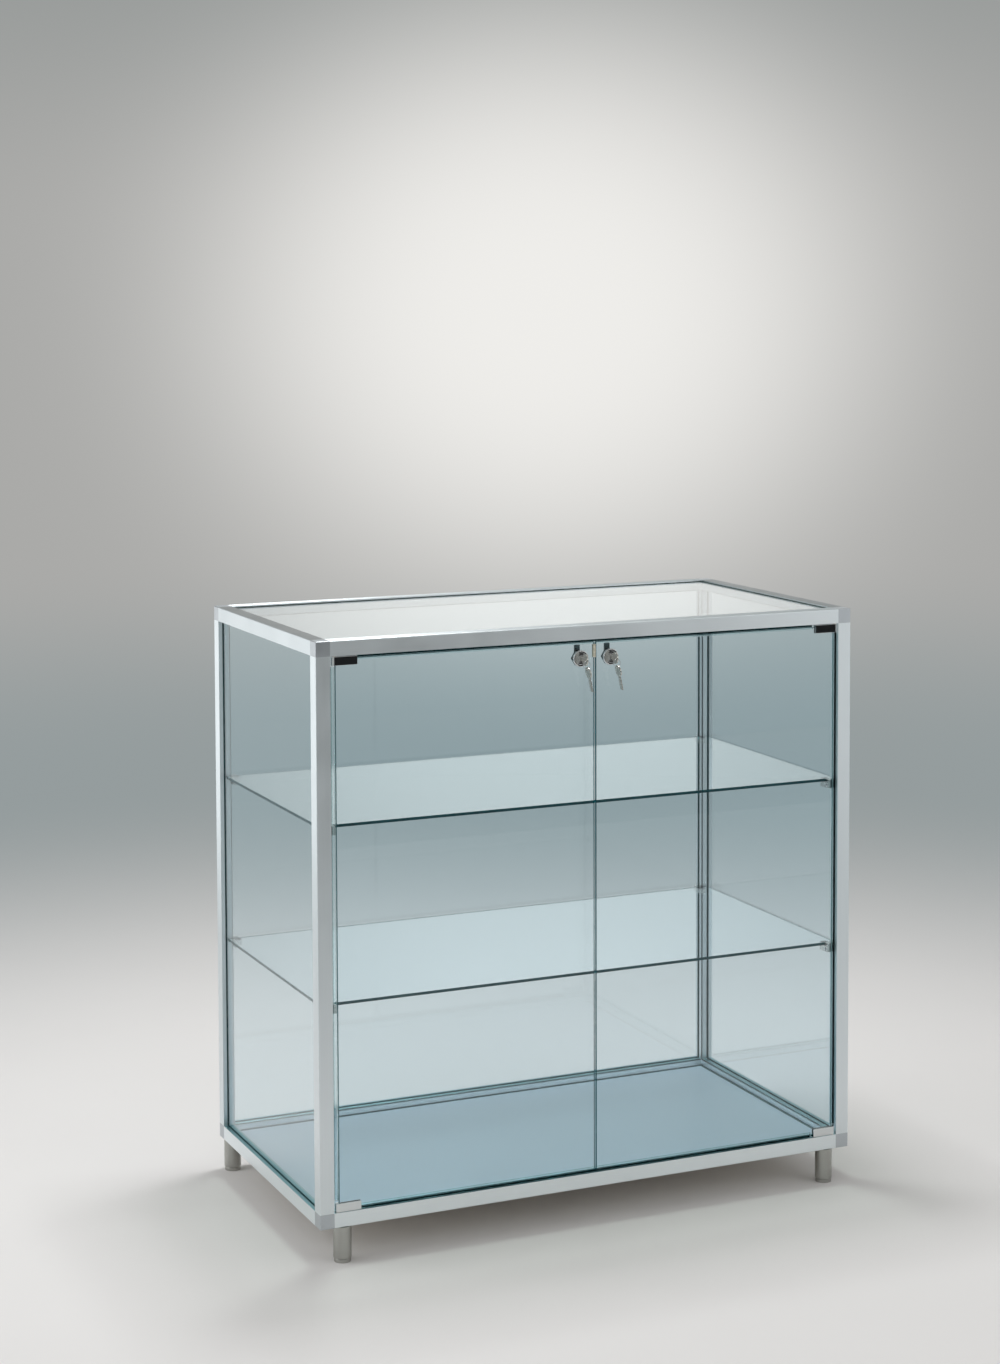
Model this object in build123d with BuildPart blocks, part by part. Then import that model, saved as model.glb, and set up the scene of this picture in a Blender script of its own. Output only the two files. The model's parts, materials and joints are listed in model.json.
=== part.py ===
"""Glass display counter: an aluminium frame with grooved profiles, glass walls and top,
two hinged glass doors with cam locks, two loose glass shelves and four levelling feet.

Millimetres, +Z up, front towards -Y. The origin is on the floor at the frame's centre.
"""

import os

from build123d import *

# Whole counter
width = 1000
depth = 525
frame_height = 965
foot_height = 60

# Frame profile, the same section for posts and rails
profile = 25
show_fillet = 1.5
corner_slot_width = 2.4
corner_slot_depth = 4
profile_wall = 2
groove_inset = 7
top_groove_inset = 2
groove_width = 7
groove_depth = 8

# Corner joints
spigot_length = 12
spigot_clearance = 0.1

# Glass, gaskets and base board
glass = 5
glass_bevel = 0.5
gasket_floor = 1
gasket_proud = 0.6
board = 6
board_clearance = 0.5

# Shelves and their brackets
upper_shelf_height = 661
lower_shelf_height = 367
shelf_side_clearance = 2
shelf_end_gap = 1.5
bracket_length = 26
bracket_width = 12
bracket_height = 10
bracket_fillet = 1
bracket_setback = 0.5
bracket_stop_gap = 1
bracket_screw_setback = 5
bracket_screw_radius = 2
bracket_head_radius = 3.5
bracket_head_height = 2.5
bracket_screw_bite = 4

# Doors and hinge clamps
door_setback = 1
door_side_gap = 9
door_gap = 3
pivot_inset = 7
clamp_length = 44
clamp_height = 14.5
clamp_bridge = 3.5
clamp_plate = 1.5
clamp_bevel = 0.5
clamp_slot_clearance = 0.3
pad = 0.5
bush_flange = 0.9
bush_flange_radius = 3.5
bush_wall = 1
bush_depth = 8
bush_lift = 0.1
pin_radius = 1.5
pin_clearance = 0.05
pin_grip = 10
pin_end_gap = 0.5
clamp_screw_radius = 2
clamp_screw_length = 3
clamp_screw_first = 13
clamp_screw_pitch = 15
clamp_socket_radius = 1.1
clamp_socket_depth = 1

# Door seals and buffer
seal_reach_post = 9
seal_reach_rail = 8
seal_lip = 3
seal_nose = 2
seal_running_gap = 0.4
seal_clamp_gap = 3
buffer_height = 22
buffer_cover = 2.5
buffer_wall = 1
buffer_nose = 2.4
buffer_top_gap = 0.5

# Door locks and keys
lock_offset = 28
lock_drop = 31
rosette_radius = 14
rosette_thickness = 4
rosette_fillet = 1.5
rosette_recess_radius = 10
rosette_recess = 0.8
barrel_radius = 9
barrel_length = 13.5
lock_hole_clearance = 0.5
nut_across_flats = 24
nut_thickness = 5
plug_radius = 6
plug_clearance = 0.05
plug_proud = 0.2
tail_side = 7
tail_length = 3.3
cam_hub_radius = 7
cam_width = 10
cam_end_fillet = 1.5
cam_thickness = 2.5
cam_barrel_gap = 0.3
cam_seal_gap = 0.7
key_thickness = 2
key_blade_length = 18
key_blade_height = 8
key_notch_width = 1.6
key_notch_depth = 1.4
key_notches = 4
key_neck_length = 5
key_neck_height = 6
key_bow_radius = 10
key_hole_radius = 2.5
key_hole_margin = 4
keyway_clearance = 0.2
keyway_end_gap = 1
ring_radius = 6
ring_wire_radius = 0.6
ring_hang_gap = 0.15
spare_key_tilt = 12

# Levelling feet
foot_inset_front = 43
foot_inset_back = 20
leg_radius = 15
leg_bevel = 0.8
leg_stud_radius = 3
leg_stud_length = 10
leg_stud_clearance = 0.1
leg_bore_depth = 44
glide_radius = 14
glide_height = 6
glide_fillet = 1
glide_gap = 0.3
stem_radius = 5
stem_length = 24
stem_clearance = 0.05

# One overrun for every through cut
overrun = 1

# Places that the sizes above give
half_w = width / 2
half_d = depth / 2
frame_bottom = foot_height
frame_top = frame_bottom + frame_height
floor_of_opening = frame_bottom + profile
roof_of_opening = frame_top - profile
frame_middle = frame_bottom + frame_height / 2
inner_x = half_w - profile
inner_y = half_d - profile
groove_middle = groove_inset + groove_width / 2
top_groove_middle = top_groove_inset + groove_width / 2
groove_floor = profile - groove_depth
pane_edge = groove_floor + gasket_floor
chamber = groove_floor - 2 * profile_wall
block_chamber = groove_depth - profile_wall
rail_centre = profile / 2

door_front = -half_d + door_setback
door_middle = door_front + glass / 2
door_back = door_front + glass
door_top = roof_of_opening - bush_flange - bush_lift - clamp_bridge
door_bottom = floor_of_opening + bush_flange + bush_lift + clamp_bridge
door_height = door_top - door_bottom
door_edge = inner_x - door_side_gap
pivot_x = inner_x - pivot_inset
clamp_half = glass / 2 + pad + clamp_plate
clamp_end = pivot_x + clamp_half - clamp_length
seal_groove_middle = -half_d + groove_middle

lock_z = roof_of_opening - lock_drop
rosette_front = door_front - rosette_thickness
plug_front = rosette_front - plug_proud
barrel_back = door_front + barrel_length
cam_front = barrel_back + cam_barrel_gap
cam_reach = roof_of_opening - seal_reach_rail - cam_seal_gap - lock_z
key_hole_reach = key_neck_length + 2 * key_bow_radius - key_hole_margin
ring_y = plug_front - key_hole_reach
wire_drop = key_hole_radius - ring_wire_radius - ring_hang_gap
ring_top_z = lock_z - wire_drop
foot_y = half_d - rail_centre

corners = [(side_x, side_y) for side_x in (-1, 1) for side_y in (-1, 1)]
side_names = {-1: "left", 1: "right"}
end_names = {-1: "front", 1: "back"}
level_names = {-1: "bottom", 1: "top"}
foot_insets = {-1: foot_inset_front, 1: foot_inset_back}
level_groove_middles = {-1: groove_middle, 1: top_groove_middle}
shelf_heights = {"upper": upper_shelf_height, "lower": lower_shelf_height}

os.makedirs("parts", exist_ok=True)


def save(part, label):
    """Labels a finished sub-part and writes its file."""
    part.label = label
    export_step(part, f"parts/{label}.step")


def draw_profile(section, out_u, out_v, second_middle=groove_middle):
    """Draws the frame section in a sketch; out_u and out_v (1 or -1) point to its show faces.

    The groove that opens along U has its middle second_middle in from the show face along V.
    """
    groove_shift = rail_centre - groove_middle
    second_shift = rail_centre - second_middle
    mouth_shift = rail_centre - groove_depth / 2
    chamber_shift = rail_centre - profile_wall - chamber / 2
    block_shift = rail_centre - profile_wall - block_chamber / 2
    Rectangle(profile, profile)
    show_corner = Vector(out_u * rail_centre, out_v * rail_centre)
    fillet(section.vertices().sort_by_distance(show_corner)[0], show_fillet)
    with Locations((-out_u * rail_centre, -out_v * rail_centre)):
        slot_turn = out_u * out_v * 45
        Rectangle(2 * corner_slot_depth, corner_slot_width, rotation=slot_turn, mode=Mode.SUBTRACT)
    with Locations((-out_u * mouth_shift, out_v * second_shift)):
        Rectangle(groove_depth, groove_width, mode=Mode.SUBTRACT)
    with Locations((out_u * groove_shift, -out_v * mouth_shift)):
        Rectangle(groove_width, groove_depth, mode=Mode.SUBTRACT)
    with Locations((out_u * chamber_shift, out_v * chamber_shift)):
        Rectangle(chamber, chamber, mode=Mode.SUBTRACT)
    with Locations((-out_u * block_shift, -out_v * block_shift)):
        Rectangle(block_chamber, block_chamber, mode=Mode.SUBTRACT)


def bracket_screw_places(side_y):
    """Heights of the shelf bracket screws and their place along Y at one end of the counter."""
    along = side_y * (inner_y + bracket_screw_setback)
    return [(along, frame_bottom + height - glass - bracket_height / 2) for height in shelf_heights.values()]


# Four posts with the bores that the shelf brackets are screwed to
for side_x, side_y in corners:
    post_plane = Plane(
        origin=(side_x * (half_w - rail_centre), side_y * (half_d - rail_centre), frame_middle),
        x_dir=(1, 0, 0),
        z_dir=(0, 0, 1),
    )
    with BuildPart() as post:
        with BuildSketch(post_plane) as section:
            draw_profile(section, side_x, side_y)
        extrude(amount=(roof_of_opening - floor_of_opening) / 2, both=True)
        for along, height in bracket_screw_places(side_y):
            with Locations((side_x * inner_x, along, height)):
                Cylinder(
                    bracket_screw_radius,
                    2 * bracket_screw_bite,
                    rotation=(0, 90, 0),
                    mode=Mode.SUBTRACT,
                )
    save(post.part, f"{end_names[side_y]}_{side_names[side_x]}_post")

# Front and back rails, with bores for the hinge bushes and the front feet
for side_y in (-1, 1):
    for side_z in (-1, 1):
        rail_z = frame_middle + side_z * (frame_height / 2 - rail_centre)
        rail_plane = Plane(
            origin=(0, side_y * (half_d - rail_centre), rail_z),
            x_dir=(0, 1, 0),
            z_dir=(1, 0, 0),
        )
        with BuildPart() as long_rail:
            with BuildSketch(rail_plane) as section:
                draw_profile(section, side_y, side_z, level_groove_middles[side_z])
            extrude(amount=inner_x, both=True)
            if side_y < 0:
                bush_mouth = frame_middle + side_z * (frame_height / 2 - profile)
                with Locations([(side_x * pivot_x, door_middle, bush_mouth) for side_x in (-1, 1)]):
                    Cylinder(pin_radius + pin_clearance + bush_wall, 2 * bush_depth, mode=Mode.SUBTRACT)
            if side_y < 0 and side_z < 0:
                foot_x = half_w - foot_insets[side_y]
                with Locations([(side_x * foot_x, side_y * foot_y, frame_bottom) for side_x in (-1, 1)]):
                    Cylinder(
                        leg_stud_radius + leg_stud_clearance,
                        2 * (leg_stud_length + leg_stud_clearance),
                        mode=Mode.SUBTRACT,
                    )
        save(long_rail.part, f"{level_names[side_z]}_{end_names[side_y]}_rail")

# Left and right rails
for side_x in (-1, 1):
    for side_z in (-1, 1):
        rail_z = frame_middle + side_z * (frame_height / 2 - rail_centre)
        rail_plane = Plane(
            origin=(side_x * (half_w - rail_centre), 0, rail_z),
            x_dir=(1, 0, 0),
            z_dir=(0, -1, 0),
        )
        with BuildPart() as short_rail:
            with BuildSketch(rail_plane) as section:
                draw_profile(section, side_x, side_z, level_groove_middles[side_z])
            extrude(amount=inner_y, both=True)
        save(short_rail.part, f"{level_names[side_z]}_{side_names[side_x]}_rail")


def from_corner(corner, inward, distances):
    """The place at three distances inwards from a corner of the frame."""
    return tuple(start + way * far for start, way, far in zip(corner, inward, distances))


# Corner joints: cubes slotted for the pane corners, with square spigots into the profiles
spigot = chamber - 2 * spigot_clearance
spigot_shift = profile_wall + chamber / 2
slot_shift = profile - groove_depth / 2
for side_z in (-1, 1):
    outer_z = frame_middle + side_z * frame_height / 2
    slot_middles = [groove_middle, groove_middle, level_groove_middles[side_z]]
    with BuildPart() as corner_joints:
        for side_x, side_y in corners:
            cube_centre = (
                side_x * (half_w - rail_centre),
                side_y * (half_d - rail_centre),
                outer_z - side_z * rail_centre,
            )
            with Locations(cube_centre):
                Box(profile, profile, profile)
            outer_corner = (side_x * half_w, side_y * half_d, outer_z)
            fillet(corner_joints.edges().sort_by_distance(outer_corner)[0:3], show_fillet)
            for axis in range(3):
                slot_from_corner = [slot_shift] * 3
                slot_size = [groove_depth] * 3
                slot_from_corner[axis] = slot_middles[axis]
                slot_size[axis] = groove_width
                spigot_from_corner = [spigot_shift] * 3
                spigot_size = [spigot] * 3
                spigot_from_corner[axis] = profile + spigot_length / 2
                spigot_size[axis] = spigot_length
                inward = (-side_x, -side_y, -side_z)
                with Locations(from_corner(outer_corner, inward, slot_from_corner)):
                    Box(*slot_size, mode=Mode.SUBTRACT)
                with Locations(from_corner(outer_corner, inward, spigot_from_corner)):
                    Box(*spigot_size)
        if side_z < 0:
            foot_x = half_w - foot_inset_back
            with Locations([(side_x * foot_x, foot_y, frame_bottom) for side_x in (-1, 1)]):
                Cylinder(
                    leg_stud_radius + leg_stud_clearance,
                    2 * (leg_stud_length + leg_stud_clearance),
                    mode=Mode.SUBTRACT,
                )
    save(corner_joints.part, f"{level_names[side_z]}_corner_joints")

# Fixed panes, each with a gasket round its edges in the grooves
pane_x = width - 2 * pane_edge
pane_y = depth - 2 * pane_edge
pane_z = frame_height - 2 * pane_edge
view_x = width - 2 * profile - 2 * gasket_proud
view_y = depth - 2 * profile - 2 * gasket_proud
view_z = frame_height - 2 * profile - 2 * gasket_proud
top_plane = Plane(origin=(0, 0, frame_top - top_groove_middle), x_dir=(1, 0, 0), z_dir=(0, 0, 1))
back_plane = Plane(origin=(0, half_d - groove_middle, frame_middle), x_dir=(1, 0, 0), z_dir=(0, -1, 0))
side_planes = {
    side_x: Plane(
        origin=(side_x * (half_w - groove_middle), 0, frame_middle),
        x_dir=(0, 1, 0),
        z_dir=(1, 0, 0),
    )
    for side_x in (-1, 1)
}


def save_pane(plane, long, high, label):
    """A plain float glass pane standing on a plane."""
    with BuildPart() as pane:
        with BuildSketch(plane):
            Rectangle(long, high)
        extrude(amount=glass / 2, both=True)
    save(pane.part, label)


def save_gasket(planes, pane_size, view_size, label):
    """Gaskets of U section round equal panes, one for each plane."""
    with BuildPart() as gasket:
        for plane in planes:
            with BuildSketch(plane):
                Rectangle(pane_size[0] + 2 * gasket_floor, pane_size[1] + 2 * gasket_floor)
                Rectangle(*view_size, mode=Mode.SUBTRACT)
            extrude(amount=groove_width / 2, both=True)
            with BuildSketch(plane):
                Rectangle(*pane_size)
            extrude(amount=glass / 2, both=True, mode=Mode.SUBTRACT)
    save(gasket.part, label)


save_pane(top_plane, pane_x, pane_y, "top_glass")
save_pane(back_plane, pane_x, pane_z, "back_glass")
for side_x in (-1, 1):
    save_pane(side_planes[side_x], pane_y, pane_z, f"{side_names[side_x]}_glass")
save_gasket([top_plane], (pane_x, pane_y), (view_x, view_y), "top_gasket")
save_gasket([back_plane], (pane_x, pane_z), (view_x, view_z), "back_gasket")
save_gasket(side_planes.values(), (pane_y, pane_z), (view_y, view_z), "side_gaskets")

# Base board, lying in the inward grooves of the bottom rails
with BuildPart() as base_board:
    board_inset = groove_floor + board_clearance
    with Locations((0, 0, frame_bottom + groove_inset + board / 2)):
        Box(width - 2 * board_inset, depth - 2 * board_inset, board)
save(base_board.part, "base_board")

# Loose glass shelves between the side panes, and the brackets that carry their corners
shelf_half_x = half_w - groove_middle - glass / 2 - shelf_side_clearance
shelf_half_y = inner_y - shelf_end_gap
bracket_outer_y = half_d - groove_inset - groove_width - bracket_setback
bracket_inner_x = inner_x - bracket_width
for shelf_name, shelf_height in shelf_heights.items():
    shelf_top = frame_bottom + shelf_height
    shelf_bottom = shelf_top - glass
    with BuildPart() as shelf:
        with Locations((0, 0, shelf_bottom + glass / 2)):
            Box(2 * shelf_half_x, 2 * shelf_half_y, glass)
        chamfer(shelf.edges(), glass_bevel)
    save(shelf.part, f"{shelf_name}_shelf_glass")

    with BuildPart() as brackets:
        for side_x, side_y in corners:
            with Locations((side_x * (inner_x - bracket_width / 2), side_y * bracket_outer_y, shelf_bottom)):
                Box(
                    bracket_width,
                    bracket_length,
                    bracket_height,
                    align=(Align.CENTER, Align.MAX if side_y > 0 else Align.MIN, Align.MAX),
                )
        nose_edges = brackets.edges().filter_by(Axis.Z).sort_by(lambda edge: abs(edge.center().X))[0:8]
        fillet(nose_edges, bracket_fillet)
        stop_length = bracket_outer_y - shelf_half_y - bracket_stop_gap
        for side_x, side_y in corners:
            with Locations((side_x * (inner_x - bracket_width / 2), side_y * bracket_outer_y, shelf_bottom)):
                Box(
                    bracket_width - 2 * bracket_fillet,
                    stop_length,
                    glass,
                    align=(Align.CENTER, Align.MAX if side_y > 0 else Align.MIN, Align.MIN),
                )
            screw_y = side_y * (inner_y + bracket_screw_setback)
            with Locations((side_x * inner_x, screw_y, shelf_bottom - bracket_height / 2)):
                Cylinder(
                    bracket_screw_radius,
                    2 * (bracket_width + overrun),
                    rotation=(0, 90, 0),
                    mode=Mode.SUBTRACT,
                )
            with Locations((side_x * bracket_inner_x, screw_y, shelf_bottom - bracket_height / 2)):
                Cylinder(
                    bracket_head_radius,
                    2 * bracket_head_height,
                    rotation=(0, 90, 0),
                    mode=Mode.SUBTRACT,
                )
    save(brackets.part, f"{shelf_name}_shelf_brackets")

with BuildPart() as bracket_screws:
    for side_x, side_y in corners:
        for along, height in bracket_screw_places(side_y):
            screw_plane = Plane(
                origin=(side_x * (inner_x + bracket_screw_bite), along, height),
                x_dir=(0, 1, 0),
                z_dir=(-side_x, 0, 0),
            )
            with BuildSketch(screw_plane):
                Circle(bracket_screw_radius)
            extrude(amount=bracket_screw_bite + bracket_width - bracket_head_height)
            with BuildSketch(screw_plane.offset(bracket_screw_bite + bracket_width - bracket_head_height)):
                Circle(bracket_head_radius)
            extrude(amount=bracket_head_height)
            with BuildSketch(screw_plane.offset(bracket_screw_bite + bracket_width)):
                RegularPolygon(bracket_screw_radius, 6)
            extrude(amount=-bracket_head_height / 2, mode=Mode.SUBTRACT)
save(bracket_screws.part, "shelf_bracket_screws")

# Hinge bushes in the front rails
with BuildPart() as bushes:
    for side_x in (-1, 1):
        for side_z in (-1, 1):
            mouth = frame_middle + side_z * (frame_height / 2 - profile)
            bush_plane = Plane(
                origin=(side_x * pivot_x, door_middle, mouth),
                x_dir=(1, 0, 0),
                z_dir=(0, 0, side_z),
            )
            with BuildSketch(bush_plane):
                Circle(pin_radius + pin_clearance + bush_wall)
            extrude(amount=bush_depth)
            with BuildSketch(bush_plane):
                Circle(bush_flange_radius)
            extrude(amount=-bush_flange)
            with BuildSketch(bush_plane.offset(-bush_flange)):
                Circle(pin_radius + pin_clearance)
            extrude(amount=bush_flange + bush_depth - bush_wall, mode=Mode.SUBTRACT)
save(bushes.part, "hinge_bushes")


# Door seals in the spare grooves of the door opening, cut away at the hinge clamps
def draw_seal(reach):
    """Section of a seal: its root fills the groove and its lip stands behind the door's edge."""
    half = groove_width / 2
    nose = half + (seal_groove_middle - half - door_back) - seal_running_gap
    with BuildLine() as outline:
        Polyline(
            (-groove_depth, -half),
            (-groove_depth, half),
            (reach - seal_nose, half),
            (reach - seal_nose, nose),
            (reach, nose),
            (reach, half - seal_lip),
            (0, half - seal_lip),
            (0, -half),
            close=True,
        )
    make_face(outline.edges())


seal_half_x = clamp_end - seal_clamp_gap
clamp_zone = bush_flange + bush_lift + clamp_height + seal_clamp_gap
seal_half_z = (roof_of_opening - floor_of_opening) / 2 - clamp_zone
with BuildPart() as door_seals:
    for side_x in (-1, 1):
        seal_plane = Plane(
            origin=(side_x * inner_x, seal_groove_middle, frame_middle),
            x_dir=(-side_x, 0, 0),
            z_dir=(0, 0, side_x),
        )
        with BuildSketch(seal_plane):
            draw_seal(seal_reach_post)
        extrude(amount=seal_half_z, both=True)
    for side_z in (-1, 1):
        seal_plane = Plane(
            origin=(0, seal_groove_middle, frame_middle + side_z * (frame_height / 2 - profile)),
            x_dir=(0, 0, -side_z),
            z_dir=(-side_z, 0, 0),
        )
        with BuildSketch(seal_plane):
            draw_seal(seal_reach_rail)
        extrude(amount=seal_half_x, both=True)
save(door_seals.part, "door_seals")

# Doors with their hinge clamps, pins, pads and screws
clamp_levels = {
    -1: door_bottom - clamp_bridge,
    1: door_top + clamp_bridge,
}
pad_height = clamp_height - clamp_bridge
for side_x in (-1, 1):
    side = side_names[side_x]
    with BuildPart() as door:
        door_width = door_edge - door_gap / 2
        with Locations((side_x * (door_edge + door_gap / 2) / 2, door_middle, (door_top + door_bottom) / 2)):
            Box(door_width, glass, door_height)
        chamfer(door.edges(), glass_bevel)
        with Locations((side_x * lock_offset, door_middle, lock_z)):
            Cylinder(
                barrel_radius + lock_hole_clearance,
                glass + 2 * overrun,
                rotation=(90, 0, 0),
                mode=Mode.SUBTRACT,
            )
    save(door.part, f"{side}_door_glass")

    with BuildPart() as clamps:
        for side_z, level in clamp_levels.items():
            with BuildSketch(Plane(origin=(0, 0, level), x_dir=(1, 0, 0), z_dir=(0, 0, 1))):
                with Locations((side_x * pivot_x, door_middle)):
                    Circle(clamp_half)
                with Locations((side_x * (pivot_x + clamp_end) / 2, door_middle)):
                    Rectangle(pivot_x - clamp_end, 2 * clamp_half)
            extrude(amount=-side_z * clamp_height)
        chamfer(clamps.faces().filter_by(Axis.Z).edges(), clamp_bevel)
        slot_start = door_edge + clamp_slot_clearance
        slot_length = slot_start - clamp_end + overrun
        for side_z, level in clamp_levels.items():
            slot_middle_z = level - side_z * (clamp_bridge + (pad_height + overrun) / 2)
            with Locations((side_x * (slot_start - slot_length / 2), door_middle, slot_middle_z)):
                Box(slot_length, glass + 2 * pad, pad_height + overrun, mode=Mode.SUBTRACT)
            with Locations((side_x * pivot_x, door_middle, level)):
                Cylinder(pin_radius, 2 * pin_grip, mode=Mode.SUBTRACT)
            screw_z = level - side_z * (clamp_bridge + pad_height / 2)
            for number in range(2):
                screw_x = side_x * (pivot_x - clamp_screw_first - number * clamp_screw_pitch)
                with Locations((screw_x, door_middle + clamp_half, screw_z)):
                    Cylinder(
                        clamp_screw_radius,
                        2 * clamp_plate,
                        rotation=(90, 0, 0),
                        mode=Mode.SUBTRACT,
                    )
    save(clamps.part, f"{side}_hinge_clamps")

    with BuildPart() as pins:
        for side_z, level in clamp_levels.items():
            pin_plane = Plane(
                origin=(side_x * pivot_x, door_middle, level - side_z * pin_grip),
                x_dir=(1, 0, 0),
                z_dir=(0, 0, side_z),
            )
            with BuildSketch(pin_plane):
                Circle(pin_radius)
            extrude(amount=pin_grip + bush_lift + bush_flange + bush_depth - bush_wall - pin_end_gap)
    save(pins.part, f"{side}_hinge_pins")

    with BuildPart() as pads:
        for side_z, level in clamp_levels.items():
            pad_z = level - side_z * (clamp_bridge + pad_height / 2)
            pad_places = [
                (side_x * (door_edge + clamp_end) / 2, door_middle + way * (glass + pad) / 2, pad_z)
                for way in (-1, 1)
            ]
            with Locations(pad_places):
                Box(door_edge - clamp_end, pad, pad_height)
    save(pads.part, f"{side}_clamp_pads")

    with BuildPart() as clamp_screws:
        for side_z, level in clamp_levels.items():
            screw_z = level - side_z * (clamp_bridge + pad_height / 2)
            for number in range(2):
                screw_x = side_x * (pivot_x - clamp_screw_first - number * clamp_screw_pitch)
                screw_plane = Plane(
                    origin=(screw_x, door_back + pad, screw_z),
                    x_dir=(1, 0, 0),
                    z_dir=(0, 1, 0),
                )
                with BuildSketch(screw_plane):
                    Circle(clamp_screw_radius)
                extrude(amount=clamp_screw_length)
                with BuildSketch(screw_plane.offset(clamp_screw_length)):
                    RegularPolygon(clamp_socket_radius, 6)
                extrude(amount=-clamp_socket_depth, mode=Mode.SUBTRACT)
    save(clamp_screws.part, f"{side}_clamp_screws")

# Clear buffer on the left door's free edge, just under the top seal
with BuildPart() as buffer:
    buffer_top = roof_of_opening - seal_reach_rail - buffer_top_gap
    buffer_end = -door_gap / 2 + buffer_nose
    with Locations((buffer_end, door_middle, buffer_top)):
        Box(
            buffer_cover + buffer_nose,
            glass + 2 * buffer_wall,
            buffer_height,
            align=(Align.MAX, Align.CENTER, Align.MAX),
        )
    fillet(buffer.edges().filter_by(Axis.Z).sort_by(Axis.X)[-2:], buffer_wall)
    with Locations((-door_gap / 2, door_middle, buffer_top + overrun)):
        Box(
            buffer_cover + overrun,
            glass,
            buffer_height + 2 * overrun,
            align=(Align.MAX, Align.CENTER, Align.MAX),
            mode=Mode.SUBTRACT,
        )
save(buffer.part, "door_buffer")


# Cam locks through the doors, each with a key in it and a spare key on a ring
def front_plane(place_x, place_y, place_z):
    """A plane facing the front, with its Y axis up."""
    return Plane(origin=(place_x, place_y, place_z), x_dir=(1, 0, 0), z_dir=(0, -1, 0))


def save_key(key_plane, label):
    """A flat key; the plane's X axis runs from its blade's tip to its bow, from the shoulder."""
    with BuildPart() as key:
        with BuildSketch(key_plane):
            with Locations((-key_blade_length / 2, 0)):
                Rectangle(key_blade_length, key_blade_height)
            with Locations(((key_neck_length + key_bow_radius) / 2, 0)):
                Rectangle(key_neck_length + key_bow_radius, key_neck_height)
            with Locations((key_neck_length + key_bow_radius, 0)):
                Circle(key_bow_radius)
            with Locations((key_hole_reach, 0)):
                Circle(key_hole_radius, mode=Mode.SUBTRACT)
            notch_pitch = key_blade_length / (key_notches + 1)
            for number in range(key_notches):
                depth_share = (1 + number % 2) / 2
                with Locations((-notch_pitch * (number + 1), -key_blade_height / 2)):
                    Rectangle(key_notch_width, 2 * key_notch_depth * depth_share, mode=Mode.SUBTRACT)
        extrude(amount=key_thickness / 2, both=True)
    save(key.part, label)


for side_x in (-1, 1):
    side = side_names[side_x]
    lock_x = side_x * lock_offset
    with BuildPart() as lock_body:
        with BuildSketch(front_plane(lock_x, door_front, lock_z)):
            Circle(rosette_radius)
        extrude(amount=rosette_thickness)
        fillet(lock_body.edges().sort_by(Axis.Y)[0], rosette_fillet)
        with BuildSketch(front_plane(lock_x, barrel_back, lock_z)):
            Circle(barrel_radius)
        extrude(amount=barrel_length)
        with BuildSketch(front_plane(lock_x, rosette_front + rosette_recess, lock_z)):
            Circle(rosette_recess_radius)
        extrude(amount=rosette_recess, mode=Mode.SUBTRACT)
        with Locations((lock_x, barrel_back, lock_z)):
            Cylinder(
                plug_radius + plug_clearance,
                2 * (barrel_length + rosette_thickness + overrun),
                rotation=(90, 0, 0),
                mode=Mode.SUBTRACT,
            )
    save(lock_body.part, f"{side}_lock_body")

    with BuildPart() as lock_nut:
        with BuildSketch(front_plane(lock_x, door_back + nut_thickness, lock_z)):
            RegularPolygon(nut_across_flats / 2, 6, major_radius=False)
            Circle(barrel_radius, mode=Mode.SUBTRACT)
        extrude(amount=nut_thickness)
    save(lock_nut.part, f"{side}_lock_nut")

    with BuildPart() as lock_plug:
        with BuildSketch(front_plane(lock_x, barrel_back, lock_z)):
            Circle(plug_radius)
        extrude(amount=barrel_back - plug_front)
        with BuildSketch(front_plane(lock_x, barrel_back, lock_z)):
            Rectangle(tail_side, tail_side)
        extrude(amount=-tail_length)
        with Locations((lock_x, plug_front, lock_z)):
            Box(
                key_thickness + 2 * keyway_clearance,
                2 * (key_blade_length + keyway_end_gap),
                key_blade_height + 2 * keyway_clearance,
                mode=Mode.SUBTRACT,
            )
    save(lock_plug.part, f"{side}_lock_plug")

    with BuildPart() as lock_cam:
        with BuildSketch(front_plane(lock_x, cam_front + cam_thickness, lock_z)) as cam_outline:
            Circle(cam_hub_radius)
            with Locations((0, cam_reach / 2)):
                Rectangle(cam_width, cam_reach)
            fillet(cam_outline.vertices().group_by(Axis.Y)[-1], cam_end_fillet)
            Rectangle(tail_side, tail_side, mode=Mode.SUBTRACT)
        extrude(amount=cam_thickness)
    save(lock_cam.part, f"{side}_lock_cam")

    key_plane = Plane(origin=(lock_x, plug_front, lock_z), x_dir=(0, -1, 0), z_dir=(-1, 0, 0))
    save_key(key_plane, f"{side}_key")

    with BuildPart() as key_ring:
        with Locations((lock_x, ring_y, ring_top_z - ring_radius)):
            Torus(ring_radius, ring_wire_radius, rotation=(90, 0, 0))
    save(key_ring.part, f"{side}_key_ring")

    ring_middle = Vector(lock_x, ring_y, ring_top_z - ring_radius)
    hang = Vector(0, 0, -1).rotate(Axis.Y, -spare_key_tilt)
    hang_side = Vector(-1, 0, 0).rotate(Axis.Y, -spare_key_tilt)
    spare_shoulder = ring_middle + hang * (ring_radius + wire_drop + key_hole_reach)
    save_key(Plane(origin=spare_shoulder, x_dir=-hang, z_dir=hang_side), f"{side}_spare_key")

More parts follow.
